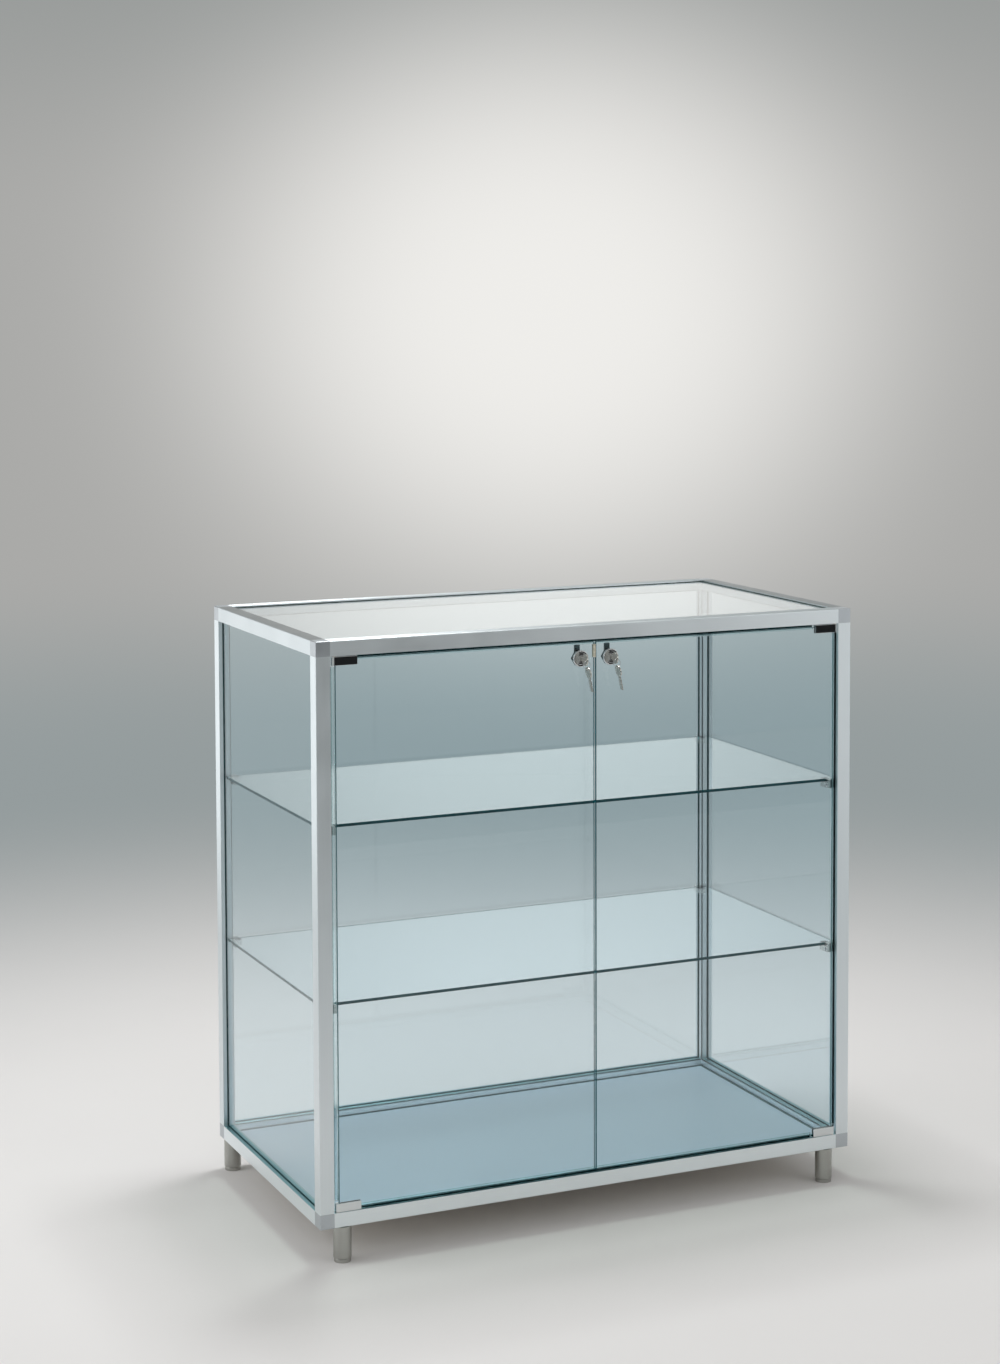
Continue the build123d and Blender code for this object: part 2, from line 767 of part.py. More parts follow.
# Feet: turned legs screwed under the frame, each with a glide on a stem
with BuildPart() as legs:
    leg_bottom = glide_height + glide_gap
    leg_places = [(side_x * (half_w - foot_insets[side_y]), side_y * foot_y) for side_x, side_y in corners]
    for leg_x, leg_y in leg_places:
        with Locations((leg_x, leg_y, leg_bottom)):
            Cylinder(leg_radius, frame_bottom - leg_bottom, align=(Align.CENTER, Align.CENTER, Align.MIN))
    chamfer(legs.faces().filter_by(Axis.Z).edges(), leg_bevel)
    for leg_x, leg_y in leg_places:
        with Locations((leg_x, leg_y, frame_bottom)):
            Cylinder(leg_stud_radius, leg_stud_length, align=(Align.CENTER, Align.CENTER, Align.MIN))
        with Locations((leg_x, leg_y, leg_bottom)):
            Cylinder(stem_radius + stem_clearance, 2 * leg_bore_depth, mode=Mode.SUBTRACT)
save(legs.part, "foot_legs")

for side_x, side_y in corners:
    glide_place = (side_x * (half_w - foot_insets[side_y]), side_y * foot_y, 0)
    with BuildPart() as glide:
        with Locations(glide_place):
            Cylinder(glide_radius, glide_height, align=(Align.CENTER, Align.CENTER, Align.MIN))
        fillet(glide.edges().group_by(Axis.Z)[-1], glide_fillet)
        with Locations((glide_place[0], glide_place[1], glide_height)):
            Cylinder(stem_radius, stem_length, align=(Align.CENTER, Align.CENTER, Align.MIN))
    save(glide.part, f"{end_names[side_y]}_{side_names[side_x]}_glide")
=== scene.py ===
"""Glass display counter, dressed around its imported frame.

The CAD nodes stay where the frame puts them. Frame profiles, fittings, locks and feet are copied,
cleaned and given eased edges, and panes are copied so that their edges take finishes of their own.
Gaskets, seals, pads, bushes and the base board only take a finish. All finishes are procedural.
"""

from __future__ import annotations

import json
import logging
import math
from abc import ABC, abstractmethod
from dataclasses import dataclass, replace
from enum import Enum, IntEnum
from functools import cache
from typing import Any, Callable, Protocol, Sequence

import bmesh
import bpy
from mathutils import Matrix, Vector

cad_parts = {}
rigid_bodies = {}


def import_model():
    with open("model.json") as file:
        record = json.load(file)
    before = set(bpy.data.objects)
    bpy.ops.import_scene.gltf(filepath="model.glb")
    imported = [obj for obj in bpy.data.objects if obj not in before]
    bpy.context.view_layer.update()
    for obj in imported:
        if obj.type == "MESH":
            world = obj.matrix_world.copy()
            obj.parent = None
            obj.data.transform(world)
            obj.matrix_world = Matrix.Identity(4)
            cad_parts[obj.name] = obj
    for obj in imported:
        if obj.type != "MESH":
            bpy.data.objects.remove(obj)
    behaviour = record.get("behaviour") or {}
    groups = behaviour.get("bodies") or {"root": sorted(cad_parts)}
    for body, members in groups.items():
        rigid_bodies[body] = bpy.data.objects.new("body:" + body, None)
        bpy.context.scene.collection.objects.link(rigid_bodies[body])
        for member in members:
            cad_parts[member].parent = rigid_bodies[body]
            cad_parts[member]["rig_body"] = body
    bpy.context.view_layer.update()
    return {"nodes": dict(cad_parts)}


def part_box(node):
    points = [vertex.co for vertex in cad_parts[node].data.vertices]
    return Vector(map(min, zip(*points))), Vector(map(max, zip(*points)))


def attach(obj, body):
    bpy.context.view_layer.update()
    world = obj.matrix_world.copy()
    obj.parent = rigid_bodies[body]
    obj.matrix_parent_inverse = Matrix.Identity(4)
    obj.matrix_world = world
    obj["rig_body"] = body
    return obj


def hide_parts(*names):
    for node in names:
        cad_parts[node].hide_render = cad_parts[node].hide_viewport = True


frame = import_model()
MM = 0.001

log = logging.getLogger("counter")

Triple = tuple[float, float, float]
Colour = Triple
Piece = bpy.types.Object
Socket = bpy.types.NodeSocket

EVEN: Triple = (1.0, 1.0, 1.0)
ORIGIN: Triple = (0.0, 0.0, 0.0)
UPRIGHT: Triple = (math.pi / 2, 0.0, 0.0)


class Axis(Enum):
    """A direction of the shared frame."""

    X = 0
    Y = 1
    Z = 2


class Side(Enum):
    """The counter's two sides, seen from the front and named as the nodes are."""

    LEFT = "left"
    RIGHT = "right"


class GlassPart(IntEnum):
    """The parts of a pane, by the number of their material slot."""

    FACE = 0
    ARRIS = 1
    EDGE = 2
    FREE_EDGE = 3
    HINGE_EDGE = 4


# Node trees

# The Mix node's sockets for colours
MIX_FIRST, MIX_SECOND, MIX_RESULT = 6, 7, 2


class Board:
    """Adds nodes to one node tree and links them."""

    def __init__(self, tree: bpy.types.NodeTree) -> None:
        """Starts on an emptied tree.

        Args:
            tree: the tree to fill.
        """
        self.tree = tree
        tree.nodes.clear()

    def add(self, kind: str, inputs: dict[Any, Any] | None = None, **settings: Any) -> Any:
        """Adds one node.

        Args:
            kind: the node's Blender type.
            inputs: a value or another node's socket for each input, by name or number.
            settings: the node's own properties.

        Returns:
            The node.
        """
        node = self.tree.nodes.new(kind)
        for name, value in settings.items():
            setattr(node, name, value)
        for key, value in (inputs or {}).items():
            if isinstance(value, Socket):
                self.tree.links.new(value, node.inputs[key])
            else:
                node.inputs[key].default_value = value
        return node

    def maths(self, operation: str, *values: Any, clamp: bool = False) -> Socket:
        """Adds a Math node.

        Args:
            operation: the sum to do.
            values: its inputs in order, numbers or sockets.
            clamp: keeps the result between 0 and 1.

        Returns:
            The result's socket.
        """
        inputs = dict(enumerate(values))
        return self.add("ShaderNodeMath", inputs, operation=operation, use_clamp=clamp).outputs[0]

    def vectors(self, operation: str, *values: Any) -> Socket:
        """Adds a Vector Math node.

        Args:
            operation: the sum to do.
            values: its inputs in order, vectors or sockets.

        Returns:
            The result's socket: a number for a length, and a vector otherwise.
        """
        node = self.add("ShaderNodeVectorMath", dict(enumerate(values)), operation=operation)
        return node.outputs["Value" if operation == "LENGTH" else "Vector"]

    def blend(self, share: Any, first: Any, second: Any) -> Socket:
        """Mixes two colours.

        Args:
            share: how much of the second, a number or a socket.
            first: colour or socket at share 0.
            second: colour or socket at share 1.

        Returns:
            The mixed colour's socket.
        """
        inputs = {0: share, MIX_FIRST: as_colour(first), MIX_SECOND: as_colour(second)}
        return self.add("ShaderNodeMix", inputs, data_type="RGBA").outputs[MIX_RESULT]

    def ramp(self, value: Socket, low: float, high: float) -> Socket:
        """Eases from 0 to 1 while a value goes from one level to another.

        Args:
            value: the socket to map.
            low: the value that gives 0.
            high: the value that gives 1.

        Returns:
            The mapped value's socket.
        """
        inputs = {"Value": value, "From Min": low, "From Max": high}
        return self.add("ShaderNodeMapRange", inputs, interpolation_type="SMOOTHSTEP").outputs["Result"]

    def noise(self, vector: Socket, scale: Any, detail: float) -> Socket:
        """Adds a Noise Texture.

        Args:
            vector: the socket of the place.
            scale: its scale, a number or a socket.
            detail: how many finer layers it has.

        Returns:
            The noise's value.
        """
        inputs = {"Vector": vector, "Scale": scale, "Detail": detail}
        return self.add("ShaderNodeTexNoise", inputs).outputs[0]


def as_colour(value: Any) -> Any:
    """A colour with its alpha, or the socket as it is."""
    return (*value, 1.0) if isinstance(value, tuple) else value


def scaled(colour: Colour, factor: float) -> Colour:
    """A lighter or darker shade of a colour, up to white."""
    return tuple(min(1.0, c * factor) for c in colour)


class EffectBoard(Board):
    """The board of an effect that several finishes share: a node group with one value out."""

    def __init__(self, name: str, inputs: dict[str, Any], output: str) -> None:
        """Makes the group with its sockets.

        Args:
            name: the group's name.
            inputs: each input's default, a number or a vector.
            output: the output's name.
        """
        group = bpy.data.node_groups.new(name, "ShaderNodeTree")
        for label, value in inputs.items():
            kind = "NodeSocketVector" if isinstance(value, tuple) else "NodeSocketFloat"
            socket = group.interface.new_socket(label, in_out="INPUT", socket_type=kind)
            socket.default_value = value
        group.interface.new_socket(output, in_out="OUTPUT", socket_type="NodeSocketFloat")
        super().__init__(group)
        self.given = self.add("NodeGroupInput").outputs
        self.result = self.add("NodeGroupOutput").inputs[output]

    def close(self, value: Socket) -> bpy.types.NodeTree:
        """Puts the effect's value out.

        Args:
            value: its socket.

        Returns:
            The group.
        """
        self.tree.links.new(value, self.result)
        return self.tree


@cache
def drawn_grain(coarse_share: float = 0.21) -> bpy.types.NodeTree:
    """Builds fine lines, drawn out along whichever axis the vector is squeezed on.

    Args:
        coarse_share: the fineness of the coarse lines among them, as a share of the fine ones'.

    Returns:
        The group, which puts out Lines from 0 to 1.
    """
    board = EffectBoard("drawn_grain", {"Vector": ORIGIN, "Fineness": 900.0}, "Lines")
    vector, fineness = board.given["Vector"], board.given["Fineness"]
    fine = board.noise(vector, fineness, detail=2.0)
    coarse = board.noise(vector, board.maths("MULTIPLY", fineness, coarse_share), detail=1.0)
    return board.close(board.maths("MULTIPLY", board.maths("ADD", fine, coarse), 0.5, clamp=True))


@cache
def soft_patches(clear: float = 0.35, full: float = 0.68) -> bpy.types.NodeTree:
    """Builds soft cloudy patches, as handling and dust leave on a smooth surface.

    Args:
        clear: the noise's level where a patch begins.
        full: its level where a patch is full.

    Returns:
        The group, which puts out Value between the Low and High inputs.
    """
    sockets = {"Vector": ORIGIN, "Size": 0.08, "Low": 0.0, "High": 1.0}
    board = EffectBoard("soft_patches", sockets, "Value")
    scale = board.maths("DIVIDE", 1.0, board.given["Size"])
    share = board.ramp(board.noise(board.given["Vector"], scale, detail=3.0), clear, full)
    reach = board.maths("SUBTRACT", board.given["High"], board.given["Low"])
    return board.close(board.maths("MULTIPLY_ADD", share, reach, board.given["Low"]))


@cache
def flecks(sharpness: float = 6.0) -> bpy.types.NodeTree:
    """Builds tiny flecks, as in laminate and castings.

    Args:
        sharpness: how fast a fleck goes from nothing to full.

    Returns:
        The group, which puts out Flecks from 0 to 1.
    """
    board = EffectBoard("flecks", {"Vector": ORIGIN, "Size": 0.001, "Cover": 0.5}, "Flecks")
    scale = board.maths("DIVIDE", 1.0, board.given["Size"])
    dots = board.noise(board.given["Vector"], scale, detail=2.0)
    above = board.maths("SUBTRACT", dots, board.maths("SUBTRACT", 1.0, board.given["Cover"]))
    return board.close(board.maths("MULTIPLY", above, sharpness, clamp=True))


class MaterialBoard(Board):
    """The board of one material, with what the finishes put on it."""

    def __init__(self, name: str, colour: Colour) -> None:
        """Makes a material that holds only its output and its object coordinates.

        Args:
            name: the material's name.
            colour: what a viewport shows.
        """
        self.material = bpy.data.materials.new(name)
        self.material.use_nodes = True
        self.material.diffuse_color = as_colour(colour)
        super().__init__(self.material.node_tree)
        self.surface = self.add("ShaderNodeOutputMaterial").inputs["Surface"]
        self.place = self.add("ShaderNodeTexCoord").outputs["Object"]

    def effect(self, group: bpy.types.NodeTree, vector: Socket, inputs: dict[str, Any]) -> Socket:
        """Places an effect.

        Args:
            group: the effect's node group.
            vector: the socket of the place.
            inputs: its other values by name.

        Returns:
            The effect's value.
        """
        return self.add("ShaderNodeGroup", {"Vector": vector, **inputs}, node_tree=group).outputs[0]

    def grain(self, stretch: Triple, fineness: float) -> Socket:
        """Places drawn lines.

        Args:
            stretch: the scale of the place along each axis, small along the lines.
            fineness: the lines' scale.

        Returns:
            The lines, from 0 to 1.
        """
        drawn = self.add("ShaderNodeMapping", {"Vector": self.place, "Scale": stretch}).outputs[0]
        return self.effect(drawn_grain(), drawn, {"Fineness": fineness})

    def patches(self, size: float, low: float, high: float) -> Socket:
        """Places soft patches.

        Args:
            size: how large a patch is, in metres.
            low: the value beside a patch.
            high: the value in its middle.

        Returns:
            The patches' value.
        """
        return self.effect(soft_patches(), self.place, {"Size": size, "Low": low, "High": high})

    def flecks(self, size: float, cover: float) -> Socket:
        """Places flecks.

        Args:
            size: how large a fleck is, in metres.
            cover: the share of the surface that they cover.

        Returns:
            The flecks, from 0 to 1.
        """
        return self.effect(flecks(), self.place, {"Size": size, "Cover": cover})

    def two_tone(self, share: Socket, colour: Colour, tone: float) -> Socket:
        """Shades a colour.

        Args:
            share: 0 where it is darkest and 1 where it is lightest.
            colour: the colour halfway.
            tone: how much darker and lighter it gets.

        Returns:
            The shaded colour's socket.
        """
        return self.blend(share, scaled(colour, 1 - tone), scaled(colour, 1 + tone))

    def bump(self, height: Socket, strength: float, depth: float) -> Socket:
        """Adds a Bump node.

        Args:
            height: the socket of the height, from 0 to 1.
            strength: how strongly it shows.
            depth: its full height in metres.

        Returns:
            The bumped normal.
        """
        inputs = {"Height": height, "Strength": strength, "Distance": depth}
        return self.add("ShaderNodeBump", inputs).outputs[0]

    def principled(self, inputs: dict[str, Any]) -> Socket:
        """Adds a Principled BSDF and gives its shader."""
        return self.add("ShaderNodeBsdfPrincipled", inputs).outputs[0]

    def mix_shaders(self, share: Socket, first: Socket, second: Socket) -> Socket:
        """Adds a Mix Shader and gives its shader, the first at share 0 and the second at 1."""
        return self.add("ShaderNodeMixShader", {0: share, 1: first, 2: second}).outputs[0]

    def close(self, shader: Socket) -> bpy.types.Material:
        """Puts the material's shader out.

        Args:
            shader: its socket.

        Returns:
            The material.
        """
        self.tree.links.new(shader, self.surface)
        return self.material


# Finishes

FACE_LIMIT = 0.95


@dataclass(frozen=True)
class Finish(ABC):
    """A finish, with the name of its material."""

    name: str

    @abstractmethod
    def make(self) -> bpy.types.Material:
        """Builds the material.

        Returns:
            The material.
        """


@cache
def material_of(finish: Finish) -> bpy.types.Material:
    """The material of a finish, built on its first use."""
    return finish.make()


@dataclass(frozen=True)
class MetalFinish(Finish):
    """Bare, anodised or plated metal with drawn or turned lines.

    Faces that look straight up can take a painted shade of their own and a sheen that is drawn out.
    """

    colour: Colour
    roughness: float
    stretch: Triple = EVEN
    fineness: float = 900.0
    line_tone: float = 0.05
    line_roughness: float = 0.06
    line_depth: float = 0.01 * MM
    line_strength: float = 0.35
    patch_size: float = 90.0 * MM
    patch_roughness: float = 0.05
    across: Triple = (1.0, 0.0, 0.0)
    level_stretch: float = 0.0
    top_painted_shade: Colour = EVEN

    def make(self) -> bpy.types.Material:
        """Builds the material.

        Returns:
            The material.
        """
        board = MaterialBoard(self.name, self.colour)
        lines = board.grain(self.stretch, self.fineness)
        spread = self.patch_roughness / 2
        patches = board.patches(self.patch_size, self.roughness - spread, self.roughness + spread)
        facing = board.add("ShaderNodeNewGeometry").outputs["Normal"]
        upward = board.add("ShaderNodeSeparateXYZ", {0: facing}).outputs["Z"]
        level = board.maths("GREATER_THAN", upward, FACE_LIMIT)
        tone = board.two_tone(lines, self.colour, self.line_tone)
        inputs = {
            # Faces that look straight up take the top painted shade.
            "Base Color": board.blend(level, tone, board.vectors("MULTIPLY", tone, self.top_painted_shade)),
            "Metallic": 1.0,
            "Roughness": board.maths("MULTIPLY_ADD", lines, self.line_roughness, patches),
            "Anisotropic": board.maths("MULTIPLY", level, self.level_stretch),
            "Tangent": board.add("ShaderNodeCombineXYZ", dict(enumerate(self.across))).outputs[0],
            "Normal": board.bump(lines, self.line_strength, self.line_depth),
        }
        return board.close(board.principled(inputs))


@dataclass(frozen=True)
class CastFinish(Finish):
    """Die-cast metal under a thin satin coat, with a fine even speckle."""

    colour: Colour
    roughness: float
    metallic: float = 0.85
    fleck_size: float = 0.7 * MM
    fleck_cover: float = 0.5
    fleck_tone: float = 1.1
    fleck_depth: float = 0.02 * MM
    fleck_strength: float = 0.2
    patch_size: float = 20.0 * MM
    polish: float = 0.03
    dulling: float = 0.05

    def make(self) -> bpy.types.Material:
        """Builds the material.

        Returns:
            The material.
        """
        board = MaterialBoard(self.name, self.colour)
        specks = board.flecks(self.fleck_size, self.fleck_cover)
        smoothest, dullest = self.roughness - self.polish, self.roughness + self.dulling
        inputs = {
            "Base Color": board.blend(specks, self.colour, scaled(self.colour, self.fleck_tone)),
            "Metallic": self.metallic,
            "Roughness": board.patches(self.patch_size, smoothest, dullest),
            "Normal": board.bump(specks, self.fleck_strength, self.fleck_depth),
        }
        return board.close(board.principled(inputs))


@dataclass(frozen=True)
class SoftFinish(Finish):
    """Rubber, nylon, ground glass edges and cloth, with drawn lines or a moulded skin."""

    colour: Colour
    roughness: float
    stretch: Triple = EVEN
    fineness: float = 600.0
    tone: float = 0.25
    depth: float = 0.03 * MM
    strength: float = 0.4
    shine: float = 0.5
    patch_size: float = 50.0 * MM
    polish: float = 0.06
    dulling: float = 0.08

    def make(self) -> bpy.types.Material:
        """Builds the material.

        Returns:
            The material.
        """
        board = MaterialBoard(self.name, self.colour)
        lines = board.grain(self.stretch, self.fineness)
        smoothest, dullest = self.roughness - self.polish, self.roughness + self.dulling
        inputs = {
            "Base Color": board.two_tone(lines, self.colour, self.tone),
            "Roughness": board.patches(self.patch_size, smoothest, dullest),
            "Specular IOR Level": self.shine,
            "Normal": board.bump(lines, self.strength, self.depth),
        }
        return board.close(board.principled(inputs))


@dataclass(frozen=True)
class BoardFinish(Finish):
    """Matt laminate with a fine two-tone fleck and a faint cloud, on a plain brown backing.

    A painted shade runs along the side rails and the back rail, where the board meets them.
    """

    colour: Colour
    fleck: Colour
    backing: Colour
    backing_top: float
    inner_side: float
    inner_back: float
    rim_shade: Colour = (0.05, 0.12, 0.14)
    rim_shade_width: float = 5.0 * MM
    roughness: float = 0.42
    fleck_roughness: float = 0.1
    fleck_size: float = 1.4 * MM
    fleck_cover: float = 0.48
    fleck_share: float = 0.5
    fleck_depth: float = 0.05 * MM
    fleck_strength: float = 0.15
    cloud_size: float = 200.0 * MM
    cloud_share: float = 0.35
    cloud_tone: float = 0.94

    def make(self) -> bpy.types.Material:
        """Builds the material.

        Returns:
            The material.
        """
        board = MaterialBoard(self.name, self.colour)
        place = board.add("ShaderNodeSeparateXYZ", {0: board.place}).outputs
        under = board.maths("LESS_THAN", place["Z"], self.backing_top)
        aside = board.maths("ABSOLUTE", place["X"])
        # Painted shade along the side and back rails, where the board meets them.
        side_rim_shade = board.maths("GREATER_THAN", aside, self.inner_side - self.rim_shade_width)
        back_rim_shade = board.maths("GREATER_THAN", place["Y"], self.inner_back - self.rim_shade_width)
        rim_shade = board.maths("MAXIMUM", side_rim_shade, back_rim_shade)
        specks = board.flecks(self.fleck_size, self.fleck_cover)
        cloud = board.patches(self.cloud_size, 0.0, self.cloud_share)
        base = board.blend(cloud, self.colour, scaled(self.colour, self.cloud_tone))
        face = board.blend(board.maths("MULTIPLY", specks, self.fleck_share), base, self.fleck)
        inputs = {
            "Base Color": board.blend(under, board.blend(rim_shade, face, self.rim_shade), self.backing),
            "Roughness": board.maths("MULTIPLY_ADD", specks, self.fleck_roughness, self.roughness),
            "Normal": board.bump(specks, self.fleck_strength, self.fleck_depth),
        }
        return board.close(board.principled(inputs))


@dataclass(frozen=True)
class GlassFinish(Finish):
    """Float glass: clear, with a breath of blue and a few faint smears."""

    face: Colour = (0.865, 0.935, 0.96)
    shade: Colour = (0.87, 0.885, 0.875)
    ior: float = 1.5
    smear_size: float = 110.0 * MM
    smear_roughness: float = 0.012

    def make(self) -> bpy.types.Material:
        """Builds the material; light passes through it to the shadows as through a tint.

        Returns:
            The material.
        """
        board = MaterialBoard(self.name, self.face)
        inputs = {
            "Base Color": as_colour(self.face),
            "Roughness": board.patches(self.smear_size, 0.0, self.smear_roughness),
            "IOR": self.ior,
            "Transmission Weight": 1.0,
        }
        shader = board.principled(inputs)
        tint = board.add("ShaderNodeBsdfTransparent", {"Color": as_colour(self.shade)}).outputs[0]
        ray = board.add("ShaderNodeLightPath").outputs
        passes = board.maths("MAXIMUM", ray["Is Shadow Ray"], ray["Is Diffuse Ray"])
        return board.close(board.mix_shaders(passes, shader, tint))


@dataclass(frozen=True)
class SealFinish(Finish):
    """Clear door seal with painted shade at its root: dark along the rails and teal along the posts."""

    opening_floor: float
    opening_roof: float
    opening_side: float
    # The colours of the painted shade at the seal's root: root along the rails, side along the posts.
    root: Colour = (0.012, 0.04, 0.045)
    groove_shade_width: float = 4.5 * MM
    side: Colour = (0.42, 0.54, 0.56)
    side_shade_width: float = 4.5 * MM
    lip: Colour = (0.80, 0.90, 0.91)
    ior: float = 1.15
    roughness: float = 0.18
    patch_size: float = 30.0 * MM
    patch_roughness: float = 0.1

    def make(self) -> bpy.types.Material:
        """Builds the material.

        Returns:
            The material.
        """
        board = MaterialBoard(self.name, self.lip)
        place = board.add("ShaderNodeSeparateXYZ", {0: board.place}).outputs
        # Painted shade at the seal's root, dark along the rails and teal along the posts.
        roof_shade = board.maths("GREATER_THAN", place["Z"], self.opening_roof - self.groove_shade_width)
        floor_shade = board.maths("LESS_THAN", place["Z"], self.opening_floor + self.groove_shade_width)
        aside = board.maths("ABSOLUTE", place["X"])
        side_shade = board.maths("GREATER_THAN", aside, self.opening_side - self.side_shade_width)
        root = board.maths("MAXIMUM", roof_shade, floor_shade)
        spread = self.patch_roughness / 2
        inputs = {
            "Base Color": board.blend(root, board.blend(side_shade, self.lip, self.side), self.root),
            "Roughness": board.patches(self.patch_size, self.roughness - spread, self.roughness + spread),
            "IOR": self.ior,
            "Transmission Weight": 1.0,
        }
        return board.close(board.principled(inputs))


@dataclass(frozen=True)
class ClearPlasticFinish(Finish):
    """Clear moulding, a little clouded and yellowed."""

    colour: Colour
    cloud_size: float = 6.0 * MM
    cloud_tone: float = 0.92
    smoothest: float = 0.15
    dullest: float = 0.35
    clearness: float = 0.3
    ior: float = 1.49

    def make(self) -> bpy.types.Material:
        """Builds the material.

        Returns:
            The material.
        """
        board = MaterialBoard(self.name, self.colour)
        cloud = board.patches(self.cloud_size, self.smoothest, self.dullest)
        inputs = {
            "Base Color": board.blend(cloud, self.colour, scaled(self.colour, self.cloud_tone)),
            "Roughness": cloud,
            "IOR": self.ior,
            "Transmission Weight": self.clearness,
        }
        return board.close(board.principled(inputs))


@dataclass(frozen=True)
class StageFinish(Finish):
    """Pale paper: a lit floor that fades into a backdrop of painted light and shade with one soft glow."""

    floor: Colour = (0.78, 0.775, 0.77)
    cloud_scale: float = 3.0
    cloud_share: float = 0.3
    cloud_tone: float = 0.93
    # The backdrop's painted light and shade: horizon, wall, crown and glow.
    horizon: Colour = (0.30, 0.335, 0.34)
    wall: Colour = (0.40, 0.40, 0.39)
    wall_start: float = 0.6
    crown: Colour = (0.31, 0.325, 0.32)
    crown_start: float = 1.8
    crown_full: float = 2.9
    glow: Colour = (0.86, 0.85, 0.825)
    glow_place: Triple = (2.23, 4.70, 1.50)
    glow_width: float = 1.24
    glow_height: float = 1.065
    glow_hardness: float = 3.0
    fade_start: float = 0.9
    fade_end: float = 3.8
    mirrored: float = 1.2

    def make(self) -> bpy.types.Material:
        """Builds the material; only the floor takes shadows, and the outside can be seen through.

        Returns:
            The material.
        """
        board = MaterialBoard(self.name, self.floor)
        place = board.add("ShaderNodeSeparateXYZ", {0: board.place}).outputs
        level = board.add("ShaderNodeCombineXYZ", {"X": place["X"], "Y": place["Y"]}).outputs[0]
        reach = board.vectors("LENGTH", level)
        cloud = board.noise(board.place, self.cloud_scale, detail=2.0)
        share = board.maths("MULTIPLY", cloud, self.cloud_share)
        tone = board.blend(share, self.floor, scaled(self.floor, self.cloud_tone))
        lit = board.add("ShaderNodeBsdfDiffuse", {"Color": tone}).outputs[0]
        ray = board.add("ShaderNodeLightPath").outputs
        # Polished metal and glass see the backdrop brighter than the camera does: a painted reflection.
        gain = board.maths("MULTIPLY_ADD", ray["Is Glossy Ray"], self.mirrored - 1.0, 1.0)
        backdrop = {"Color": self.painted(board, place["Z"]), "Strength": gain}
        back = board.add("ShaderNodeEmission", backdrop).outputs[0]
        seen = board.maths("ADD", ray["Is Camera Ray"], ray["Is Glossy Ray"])
        seen = board.maths("ADD", seen, ray["Is Transmission Ray"], clamp=True)
        clear = board.add("ShaderNodeBsdfTransparent").outputs[0]
        shown = board.mix_shaders(seen, clear, back)
        # Farther out, the lit floor gives way to the painted backdrop, darker towards the horizon: painted
        # shade.
        inside = board.mix_shaders(board.ramp(reach, self.fade_start, self.fade_end), lit, shown)
        outside = board.add("ShaderNodeNewGeometry").outputs["Backfacing"]
        return board.close(board.mix_shaders(outside, inside, clear))

    def painted(self, board: MaterialBoard, height: Socket) -> Socket:
        """Paints the backdrop's light and shade: a dark horizon, a lighter wall, a darker crown and a soft
        glow.

        Args:
            board: the material's board.
            height: the socket of the height above the floor.

        Returns:
            The colour's socket.
        """
        rise = board.ramp(height, 0.0, self.wall_start)
        top = board.ramp(height, self.crown_start, self.crown_full)
        wall = board.blend(top, board.blend(rise, self.horizon, self.wall), self.crown)
        away = board.vectors("SUBTRACT", board.place, self.glow_place)
        shape = (1.0 / self.glow_width, 1.0 / self.glow_width, 1.0 / self.glow_height)
        ring = board.vectors("LENGTH", board.vectors("MULTIPLY", away, shape))
        falloff = board.maths("POWER", ring, self.glow_hardness)
        strength = board.maths("EXPONENT", board.maths("MULTIPLY", falloff, -1.0))
        return board.blend(strength, wall, self.glow)


# The counter's own finishes

DRAWN = 0.012
TURNED = (0.02, 0.02, 1.0)
ALONG = {Axis.X: (DRAWN, 1.0, 1.0), Axis.Y: (1.0, DRAWN, 1.0), Axis.Z: (1.0, 1.0, DRAWN)}
ACROSS = {Axis.X: (0.0, 1.0, 0.0), Axis.Y: (1.0, 0.0, 0.0), Axis.Z: (1.0, 0.0, 0.0)}

ANODISED = {
    axis: MetalFinish(
        f"anodised_profile_{axis.name.lower()}",
        (0.775, 0.83, 0.855),
        0.36,
        stretch=ALONG[axis],
        fineness=1400.0,
        line_tone=0.03,
        across=ACROSS[axis],
        level_stretch=0.85,
    )
    for axis in Axis
}
# The side rails: a darker copy of the anodised colour, with a painted shade on their tops.
ANODISED[Axis.Y] = replace(ANODISED[Axis.Y], colour=(0.70, 0.75, 0.775), top_painted_shade=(0.62, 0.62, 0.62))
# The bottom rails: a lighter copy of the anodised colour as painted light, with a dark teal painted shade
# on their tops.
BASE_ANODISED = {
    axis: replace(
        finish,
        name=f"anodised_base_{axis.name.lower()}",
        colour=(0.845, 0.905, 0.93),
        top_painted_shade=(0.34, 0.56, 0.59),
    )
    for axis, finish in ANODISED.items()
}
CAST_JOINT = CastFinish("cast_corner_joint", (0.50, 0.535, 0.565), 0.36)
BRACKET_NICKEL = MetalFinish("bracket_nickel", (0.66, 0.66, 0.65), 0.16, fineness=2200.0, line_tone=0.03)
ZINC_STEEL = MetalFinish("zinc_steel", (0.52, 0.53, 0.55), 0.32, fineness=2500.0, patch_size=10.0 * MM)
BLACK_ZINC = replace(ZINC_STEEL, name="black_zinc", colour=(0.05, 0.075, 0.08), roughness=0.3)
CHROME = MetalFinish(
    "lock_chrome",
    (0.72, 0.73, 0.74),
    0.13,
    fineness=2600.0,
    line_tone=0.02,
    line_roughness=0.02,
    patch_size=12.0 * MM,
)
CLAMP_CHROME = replace(
    CHROME,
    name="clamp_chrome",
    colour=(0.70, 0.73, 0.74),
    roughness=0.05,
    patch_size=20.0 * MM,
    patch_roughness=0.02,
)
KEY_NICKEL = MetalFinish(
    "key_nickel", (0.58, 0.57, 0.53), 0.25, fineness=3000.0, line_tone=0.06, patch_size=6.0 * MM
)
FOOT_METAL = MetalFinish(
    "turned_foot", (0.46, 0.46, 0.435), 0.33, stretch=TURNED, fineness=2200.0, line_roughness=0.08
)
GLASS = GlassFinish("float_glass")
